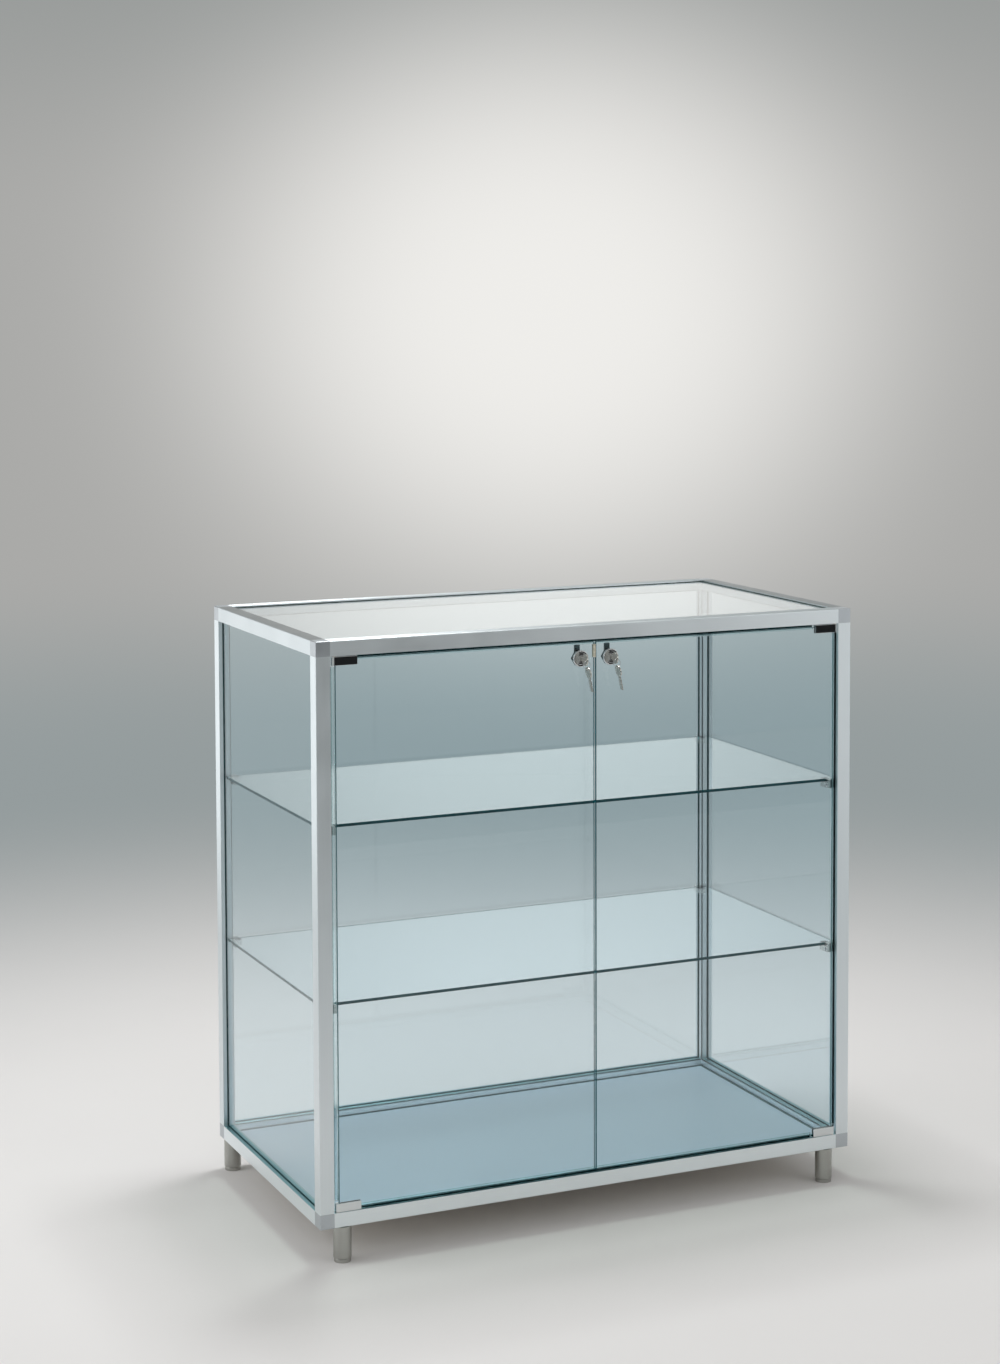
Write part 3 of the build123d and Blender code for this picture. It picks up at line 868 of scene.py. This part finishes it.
TOP_GLASS = GlassFinish("top_float_glass", ior=1.42)
# The shelves take lighter copies of the float glass's tint, the upper one nearly white: painted light for
# the backdrop they reflect.
SHELF_GLASS = {
    "upper": GlassFinish("upper_shelf_glass", face=(0.99, 1.0, 1.0), ior=2.15),
    "lower": GlassFinish("lower_shelf_glass", face=(0.90, 0.955, 0.985), ior=1.62),
}
DOOR_EDGE = SoftFinish("door_free_edge", (0.023, 0.19, 0.235), 0.22, fineness=1800.0, tone=0.1)
# The hinge edge is a lighter copy of the door edge's colour: painted light.
HINGE_EDGE = replace(DOOR_EDGE, name="door_hinge_edge", colour=(0.16, 0.30, 0.32))
GLASS_EDGE = replace(DOOR_EDGE, name="glass_edge", colour=(0.002, 0.058, 0.070), shine=0.15)
GLASS_ARRIS = replace(
    DOOR_EDGE, name="glass_arris", colour=(0.008, 0.085, 0.10), roughness=0.25, shine=0.2
)
GASKET = SoftFinish("gasket_rubber_z", (0.012, 0.062, 0.072), 0.6, stretch=ALONG[Axis.Z], shine=0.15)
TOP_GASKET = replace(GASKET, name="top_gasket_rubber", colour=(0.09, 0.13, 0.13), stretch=ALONG[Axis.X])
DOOR_SEAL = SealFinish(
    "door_seal",
    opening_floor=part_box("bottom_front_rail")[1].z,
    opening_roof=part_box("top_front_rail")[0].z,
    opening_side=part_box("bottom_right_rail")[0].x,
)
PAD_RUBBER = SoftFinish("pad_rubber", (0.05, 0.052, 0.055), 0.62, fineness=1500.0)
NYLON = SoftFinish("bush_nylon", (0.62, 0.61, 0.57), 0.4, tone=0.05)
CLEAR_PLASTIC = ClearPlasticFinish("clear_buffer", (0.94, 0.92, 0.76))
LAMINATE = BoardFinish(
    "base_laminate",
    (0.485, 0.62, 0.735),
    (0.59, 0.73, 0.85),
    backing=(0.74, 0.68, 0.60),
    backing_top=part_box("base_board")[0].z + 0.5 * MM,
    inner_side=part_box("bottom_right_rail")[0].x,
    inner_back=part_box("bottom_back_rail")[0].y,
)
STUDIO_PAPER = StageFinish("studio_paper")
FLAG_CLOTH = SoftFinish("flag_cloth", (0.008, 0.009, 0.01), 0.9)


# Modelling

MERGE_REACH = 0.002 * MM
FLAT_ANGLE = math.radians(0.4)
EASE_ANGLE = math.radians(35.0)
EASE_FACES = 2
SMOOTH_ANGLE = math.radians(32.0)
FLATTEST = 100
ARRIS_LIMIT = 0.3
MIDDLE_REACH = 50.0 * MM


def new_object(name: str, data: Any) -> Piece:
    """Makes an object of some data and puts it in the scene.

    Args:
        name: the object's name.
        data: its mesh, lamp or camera data.

    Returns:
        The object.
    """
    thing = bpy.data.objects.new(name, data)
    bpy.context.scene.collection.objects.link(thing)
    return thing


class Bench:
    """Blender's own modelling operators, as they are used on one piece at a time."""

    @staticmethod
    def clear() -> None:
        """Leaves edit mode and deselects everything."""
        if bpy.context.mode != "OBJECT":
            bpy.ops.object.mode_set(mode="OBJECT")
        bpy.ops.object.select_all(action="DESELECT")

    @staticmethod
    def take(piece: Piece) -> None:
        """Selects one piece and makes it active."""
        Bench.clear()
        piece.select_set(True)
        bpy.context.view_layer.objects.active = piece

    @staticmethod
    def copy_node(node: str, name: str) -> Piece:
        """Copies a CAD node's mesh into a new piece and merges its loose triangles.

        Args:
            node: the CAD node.
            name: the new piece's name.

        Returns:
            The piece, at the origin.
        """
        piece = new_object(name, frame["nodes"][node].data.copy())
        piece.data.name = name
        Bench.take(piece)
        bpy.ops.mesh.customdata_custom_splitnormals_clear()
        bpy.ops.object.mode_set(mode="EDIT")
        bpy.ops.mesh.select_all(action="SELECT")
        bpy.ops.mesh.remove_doubles(threshold=MERGE_REACH)
        bpy.ops.mesh.dissolve_limited(angle_limit=FLAT_ANGLE, delimit={"NORMAL"})
        bpy.ops.mesh.select_all(action="DESELECT")
        bpy.ops.object.mode_set(mode="OBJECT")
        return piece

    @staticmethod
    def settle(piece: Piece, name: str) -> None:
        """Puts a new piece's place into its mesh and names it.

        Args:
            piece: the piece.
            name: its name.
        """
        Bench.take(piece)
        bpy.ops.object.transform_apply(location=True, rotation=True, scale=True)
        piece.name = piece.data.name = name

    @staticmethod
    def pick_faces(piece: Piece, test: Callable[[Vector], bool]) -> None:
        """Enters edit mode with only the faces that pass a test selected.

        Args:
            piece: the piece.
            test: takes a face's normal.
        """
        Bench.take(piece)
        bpy.ops.object.mode_set(mode="EDIT")
        bpy.ops.mesh.select_mode(type="FACE")
        bpy.ops.mesh.select_all(action="DESELECT")
        for face in bmesh.from_edit_mesh(piece.data).faces:
            if test(face.normal):
                face.select_set(True)
        bmesh.update_edit_mesh(piece.data)

    @staticmethod
    def ease(piece: Piece, width: float) -> None:
        """Rounds a piece's sharp edges and smooths its round faces.

        Args:
            piece: the piece.
            width: the rounding's width in metres.
        """
        Bench.take(piece)
        rounding = piece.modifiers.new("ease", "BEVEL")
        rounding.width = width
        rounding.segments = EASE_FACES
        rounding.limit_method = "ANGLE"
        rounding.angle_limit = EASE_ANGLE
        rounding.use_clamp_overlap = True
        rounding.miter_outer = "MITER_ARC"
        bpy.ops.object.modifier_apply(modifier=rounding.name)
        bpy.ops.object.shade_smooth_by_angle(angle=SMOOTH_ANGLE)
        flatter = piece.modifiers.new("flatter", "WEIGHTED_NORMAL")
        flatter.keep_sharp = True
        flatter.weight = FLATTEST
        bpy.ops.object.modifier_apply(modifier=flatter.name)


def dress(piece: Piece, *finishes: Finish) -> None:
    """Gives a new piece its finishes, one material slot each.

    Args:
        piece: the piece.
        finishes: its finishes in the order of their slots.
    """
    piece.data.materials.clear()
    for finish in finishes:
        piece.data.materials.append(material_of(finish))


def dress_node(node: str, finish: Finish) -> None:
    """Gives a CAD node its finish in every material slot.

    Args:
        node: the CAD node.
        finish: its finish.
    """
    thing = frame["nodes"][node]
    if not thing.material_slots:
        thing.data.materials.append(None)
    for place in thing.material_slots:
        place.link = "OBJECT"
        place.material = material_of(finish)
    log.info("finished node %s with %s", node, finish.name)


def mount(piece: Piece, node: str) -> None:
    """Puts a finished piece in a CAD node's stead, on the node's body.

    Args:
        piece: the piece.
        node: the CAD node that it stands for.
    """
    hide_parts(node)
    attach(piece, frame["nodes"][node]["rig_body"])
    Bench.clear()
    log.info("made %s for node %s", piece.name, node)


def eased_node(node: str, finish: Finish, width: float) -> None:
    """Replaces a CAD node by a clean copy with eased edges.

    Args:
        node: the CAD node.
        finish: the copy's finish.
        width: how far the edges are eased, in metres.
    """
    piece = Bench.copy_node(node, f"{node}_eased")
    Bench.ease(piece, width)
    dress(piece, finish)
    mount(piece, node)


def pane(node: str, thin: Axis, glass: GlassFinish, uprights: Sequence[Finish] = ()) -> None:
    """Replaces a glass node by a copy whose faces, edges and arrises have finishes of their own.

    Args:
        node: the CAD node.
        thin: the axis across the glass.
        glass: the finish of its two faces.
        uprights: finishes of the upright edges near the counter's middle and near its side,
            where they differ from the other edges.
    """
    piece = Bench.copy_node(node, f"{node}_pane")
    dress(piece, glass, GLASS_ARRIS, GLASS_EDGE, *uprights)
    for face in piece.data.polygons:
        across = abs(face.normal[thin.value])
        part = GlassPart.EDGE
        if across > FACE_LIMIT:
            part = GlassPart.FACE
        elif across > ARRIS_LIMIT:
            part = GlassPart.ARRIS
        elif uprights and abs(face.normal.x) > FACE_LIMIT:
            middle = abs(face.center.x) < MIDDLE_REACH
            part = GlassPart.FREE_EDGE if middle else GlassPart.HINGE_EDGE
        face.material_index = part
    bpy.ops.object.shade_flat()
    mount(piece, node)


# Sub-assemblies

CORNERS = ("front_left", "front_right", "back_left", "back_right")


class SubAssembly(Protocol):
    """What the main function builds."""

    def build(self) -> None:
        """Makes its pieces and dresses them."""


@dataclass
class Profiles:
    """The aluminium posts and rails with their corner joints."""

    ease: float = 0.25 * MM
    joint_ease: float = 0.5 * MM
    levels: tuple[tuple[str, dict[Axis, MetalFinish]], ...] = (
        ("top", ANODISED),
        ("bottom", BASE_ANODISED),
    )
    rails: tuple[tuple[str, Axis], ...] = (
        ("front", Axis.X),
        ("back", Axis.X),
        ("left", Axis.Y),
        ("right", Axis.Y),
    )

    def build(self) -> None:
        """Makes every post, rail and joint."""
        for corner in CORNERS:
            eased_node(f"{corner}_post", ANODISED[Axis.Z], self.ease)
        for level, finishes in self.levels:
            for place, along in self.rails:
                eased_node(f"{level}_{place}_rail", finishes[along], self.ease)
            eased_node(f"{level}_corner_joints", CAST_JOINT, self.joint_ease)


@dataclass
class Glazing:
    """The fixed panes in their gaskets, the door seals and the base board."""

    panes: tuple[tuple[str, Axis, GlassFinish], ...] = (
        ("top_glass", Axis.Z, TOP_GLASS),
        ("back_glass", Axis.Y, GLASS),
        ("left_glass", Axis.X, GLASS),
        ("right_glass", Axis.X, GLASS),
    )
    settings: tuple[tuple[str, Finish], ...] = (
        ("back_gasket", GASKET),
        ("side_gaskets", GASKET),
        ("top_gasket", TOP_GASKET),
        ("door_seals", DOOR_SEAL),
        ("base_board", LAMINATE),
    )

    def build(self) -> None:
        """Makes the panes and finishes what they are set in."""
        for node, thin, glass in self.panes:
            pane(node, thin, glass)
        for node, finish in self.settings:
            dress_node(node, finish)


@dataclass
class Shelves:
    """Two loose glass shelves on screwed brackets."""

    bracket_ease: float = 0.4 * MM
    screw_ease: float = 0.15 * MM

    def build(self) -> None:
        """Makes the shelves, their brackets and the screws."""
        for level, glass in SHELF_GLASS.items():
            pane(f"{level}_shelf_glass", Axis.Z, glass)
            eased_node(f"{level}_shelf_brackets", BRACKET_NICKEL, self.bracket_ease)
        eased_node("shelf_bracket_screws", ZINC_STEEL, self.screw_ease)


@dataclass
class HingeTrim:
    """The bushes in the rails and the buffer on the left door's edge."""

    ease: float = 0.15 * MM

    def build(self) -> None:
        """Finishes the bushes and makes the buffer."""
        dress_node("hinge_bushes", NYLON)
        eased_node("door_buffer", CLEAR_PLASTIC, self.ease)


@dataclass
class GlassDoor:
    """One frameless door with its clamps, pins, pads and screws."""

    side: Side
    clamp_ease: float = 0.35 * MM
    pin_ease: float = 0.2 * MM

    def build(self) -> None:
        """Makes the pane and its fittings, and finishes the pads."""
        side = self.side.value
        pane(f"{side}_door_glass", Axis.Y, GLASS, (DOOR_EDGE, HINGE_EDGE))
        dress_node(f"{side}_clamp_pads", PAD_RUBBER)
        eased_node(f"{side}_hinge_clamps", CLAMP_CHROME, self.clamp_ease)
        eased_node(f"{side}_hinge_pins", ZINC_STEEL, self.pin_ease)
        eased_node(f"{side}_clamp_screws", ZINC_STEEL, self.pin_ease)


@dataclass
class DoorLock:
    """A cam lock through a door, with its key, its ring and the spare key."""

    side: Side
    body_ease: float = 0.2 * MM
    key_ease: float = 0.15 * MM
    key_rim: float = 0.9 * MM
    key_recess: float = 0.25 * MM
    key_face_limit: float = 0.99
    wire_radius: float = 0.34 * MM
    wire_sides: int = 12
    ring_turns: int = 2
    ring_pitch: float = 0.5 * MM
    ring_steps: int = 40

    def build(self) -> None:
        """Makes the lock's parts, the two keys and the split ring."""
        side = self.side.value
        eased_node(f"{side}_lock_body", CHROME, self.body_ease)
        eased_node(f"{side}_lock_nut", BLACK_ZINC, self.body_ease)
        eased_node(f"{side}_lock_plug", CHROME, self.key_ease)
        eased_node(f"{side}_lock_cam", BLACK_ZINC, self.body_ease)
        self.stamped_key(f"{side}_key")
        self.stamped_key(f"{side}_spare_key")
        self.split_ring(f"{side}_key_ring")

    def stamped_key(self, node: str) -> None:
        """Makes a flat key with a raised rim round its milled faces.

        Args:
            node: the key's CAD node.
        """
        piece = Bench.copy_node(node, f"{node}_stamped")
        for way in (-1, 1):
            Bench.pick_faces(piece, lambda normal, way=way: normal.x * way > self.key_face_limit)
            bpy.ops.mesh.inset(thickness=self.key_rim, depth=-self.key_recess, use_boundary=True)
            bpy.ops.object.mode_set(mode="OBJECT")
        Bench.ease(piece, self.key_ease)
        dress(piece, KEY_NICKEL)
        mount(piece, node)

    def split_ring(self, node: str) -> None:
        """Winds a split ring of round wire, in the CAD ring's place.

        Args:
            node: the ring's CAD node.
        """
        low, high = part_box(node)
        reach = (high.z - low.z) / 2 - self.wire_radius
        Bench.clear()
        bpy.ops.mesh.primitive_circle_add(
            vertices=self.wire_sides, radius=self.wire_radius, location=(reach, 0.0, 0.0), rotation=UPRIGHT
        )
        piece = bpy.context.active_object
        Bench.settle(piece, f"{node}_split")
        winding = piece.modifiers.new("winding", "SCREW")
        winding.axis = "Z"
        winding.steps = winding.render_steps = self.ring_steps
        winding.iterations = self.ring_turns
        winding.screw_offset = self.ring_pitch
        winding.use_smooth_shade = True
        bpy.ops.object.modifier_apply(modifier=winding.name)
        bpy.ops.object.mode_set(mode="EDIT")
        bpy.ops.mesh.select_all(action="SELECT")
        bpy.ops.mesh.fill_holes(sides=self.wire_sides)
        bpy.ops.mesh.normals_make_consistent(inside=False)
        bpy.ops.object.mode_set(mode="OBJECT")
        piece.rotation_euler = UPRIGHT
        piece.location = (low + high) / 2 + Vector((0.0, self.ring_turns * self.ring_pitch / 2, 0.0))
        Bench.settle(piece, f"{node}_split")
        dress(piece, ZINC_STEEL)
        mount(piece, node)


@dataclass
class Feet:
    """Four turned legs on levelling glides."""

    ease: float = 0.3 * MM

    def build(self) -> None:
        """Makes the legs and the glides."""
        eased_node("foot_legs", FOOT_METAL, self.ease)
        for corner in CORNERS:
            eased_node(f"{corner}_glide", FOOT_METAL, self.ease)


# Studio

JOINTS = ("top_corner_joints_eased", "bottom_corner_joints_eased")
FRONT_METAL = (
    *("front_left_post_eased", "front_right_post_eased", "top_front_rail_eased", "bottom_front_rail_eased"),
    *JOINTS,
    *(f"{side.value}_{part}" for side in Side for part in ("lock", "key", "spare_key")),
)
SIDE_METAL = (
    *("front_left_post_eased", "back_left_post_eased", "top_left_rail_eased", "bottom_left_rail_eased"),
    *JOINTS,
)


@dataclass(frozen=True)
class SoftLamp:
    """A rectangular soft lamp that points at a target.

    It lights everything, or only the pieces whose names start with one of the words in lights.
    """

    name: str
    place: Triple
    target: Triple
    width: float
    height: float
    power: float
    lights: tuple[str, ...] = ()

    def hang(self) -> None:
        """Hangs the lamp, out of the camera's sight."""
        data = bpy.data.lights.new(self.name, "AREA")
        data.shape = "RECTANGLE"
        data.size, data.size_y = self.width, self.height
        data.energy = self.power
        lamp = new_object(self.name, data)
        lamp.location = self.place
        aim = Vector(self.target) - Vector(self.place)
        lamp.rotation_euler = aim.to_track_quat("-Z", "Y").to_euler()
        lamp.visible_camera = lamp.visible_transmission = False
        if self.lights:
            lit = bpy.data.collections.new(f"{self.name}_lit")
            for piece in [p for p in bpy.data.objects if p.name.startswith(self.lights)]:
                lit.objects.link(piece)
            lamp.light_linking.receiver_collection = lit
        log.info("hung %s", self.name)


@dataclass
class Studio:
    """The pale floor running up into a round backdrop, a dark flag, the lamps and the camera."""

    floor_radius: float = 3.9
    floor_rings: int = 6
    cove_radius: float = 1.3
    cove_steps: int = 16
    wall_height: float = 5.5
    round_steps: int = 128
    seam_reach: float = 0.1 * MM
    camera_place: Triple = (-1.928426, -4.176849, 1.598852)
    camera_yaw: float = -24.13412
    camera_pitch: float = 3.88974
    camera_roll: float = -0.20558
    camera_sensor: float = 36.0
    camera_lens: float = 68.9636
    camera_shift: float = -0.162757
    flag_place: Triple = (2.0, -3.2, 0.53)
    flag_size: tuple[float, float] = (4.0, 1.06)
    air: Colour = (1.0, 0.985, 0.97)
    air_strength: float = 0.5
    lamps: tuple[SoftLamp, ...] = (
        SoftLamp("overhead_softbox", (0.1, 0.4, 3.3), ORIGIN, 0.6, 0.6, 46.5),
        SoftLamp("left_softbox", (-3.2, 0.5, 1.7), (0.0, 0.0, 0.6), 2.4, 2.6, 36.0),
        SoftLamp("right_softbox", (2.9, -3.4, 2.1), (0.0, 0.0, 0.7), 3.4, 2.0, 22.0),
    )
    metal_lamps: tuple[SoftLamp, ...] = (
        SoftLamp("front_metal_softbox", (2.6, -2.3, 0.48), (0.3, 0.0, 0.48), 2.2, 0.95, 5.5, FRONT_METAL),
        SoftLamp("side_metal_softbox", (-1.7, 2.3, 0.47), (-0.5, 0.0, 0.47), 1.6, 0.9, 4.0, SIDE_METAL),
    )

    def build(self) -> None:
        """Makes everything that isn't the counter, apart from the lamps for its metal."""
        self.camera()
        self.stage()
        self.flag()
        for lamp in self.lamps:
            lamp.hang()
        self.world()
        bpy.context.scene.view_settings.view_transform = "Standard"

    def camera(self) -> None:
        """Stands the camera at the photograph's viewpoint."""
        angles = (self.camera_yaw, self.camera_pitch, self.camera_roll)
        yaw, pitch, roll = (math.radians(angle) for angle in angles)
        level = Vector((math.cos(yaw), math.sin(yaw), 0.0))
        flat = Vector((-math.sin(yaw), math.cos(yaw), 0.0))
        ahead = flat * math.cos(pitch) - Vector((0.0, 0.0, math.sin(pitch)))
        upright = level.cross(ahead)
        right = level * math.cos(roll) + upright * math.sin(roll)
        up = upright * math.cos(roll) - level * math.sin(roll)
        data = bpy.data.cameras.new("view")
        data.lens = self.camera_lens
        data.sensor_width = self.camera_sensor
        data.shift_y = self.camera_shift
        camera = new_object("view", data)
        turn = Matrix((right, up, -ahead)).transposed()
        camera.matrix_world = Matrix.Translation(self.camera_place) @ turn.to_4x4()
        bpy.context.scene.camera = camera

    def stage(self) -> None:
        """Spins the floor and its backdrop from one outline."""
        ring = self.floor_radius / self.floor_rings
        outline = [(ring * count, 0.0) for count in range(1, self.floor_rings + 1)]
        for step in range(1, self.cove_steps + 1):
            turn = math.pi / 2 * step / self.cove_steps
            reach = self.floor_radius + self.cove_radius * math.sin(turn)
            outline.append((reach, self.cove_radius * (1 - math.cos(turn))))
        outline.append((self.floor_radius + self.cove_radius, self.wall_height))
        data = bpy.data.meshes.new("studio_stage")
        lines = [(i, i + 1) for i in range(len(outline) - 1)]
        data.from_pydata([(reach, 0.0, height) for reach, height in outline], lines, [])
        stage = new_object("studio_stage", data)
        Bench.take(stage)
        bpy.ops.object.mode_set(mode="EDIT")
        bpy.ops.mesh.select_all(action="SELECT")
        bpy.ops.mesh.spin(steps=self.round_steps, angle=math.tau, center=ORIGIN, axis=(0.0, 0.0, 1.0))
        bpy.ops.mesh.select_all(action="SELECT")
        bpy.ops.mesh.remove_doubles(threshold=self.seam_reach)
        bpy.ops.mesh.fill_holes(sides=self.round_steps)
        bpy.ops.mesh.normals_make_consistent(inside=True)
        bpy.ops.object.mode_set(mode="OBJECT")
        bpy.ops.object.shade_smooth()
        dress(stage, STUDIO_PAPER)
        stage.visible_shadow = False

    def flag(self) -> None:
        """Stands a dark card far in front that only shows in polished metal and glass, as a painted dark
        reflection.
        """
        Bench.clear()
        bpy.ops.mesh.primitive_plane_add(size=1.0, location=self.flag_place, rotation=UPRIGHT)
        flag = bpy.context.active_object
        flag.scale = (*self.flag_size, 1.0)
        Bench.settle(flag, "dark_flag")
        dress(flag, FLAG_CLOTH)
        flag.visible_camera = flag.visible_diffuse = flag.visible_transmission = flag.visible_shadow = False

    def world(self) -> None:
        """Sets the plain light that comes from all round."""
        world = bpy.data.worlds.new("studio_air")
        bpy.context.scene.world = world
        world.use_nodes = True
        board = Board(world.node_tree)
        air = {"Color": as_colour(self.air), "Strength": self.air_strength}
        light = board.add("ShaderNodeBackground", air).outputs[0]
        board.add("ShaderNodeOutputWorld", {"Surface": light})

    def light_metal(self) -> None:
        """Hangs two low softboxes that only light the satin aluminium, the locks and the keys."""
        for lamp in self.metal_lamps:
            lamp.hang()


def main() -> None:
    """Builds the studio and every sub-assembly in order."""
    logging.basicConfig(level=logging.INFO, format="%(name)s: %(message)s")
    studio = Studio()
    parts: Sequence[SubAssembly] = (
        studio,
        Profiles(),
        Glazing(),
        Shelves(),
        HingeTrim(),
        *(GlassDoor(side) for side in Side),
        *(DoorLock(side) for side in Side),
        Feet(),
    )
    for part in parts:
        part.build()
        log.info("built %s", type(part).__name__)
    studio.light_metal()


if __name__ == "__main__":
    main()
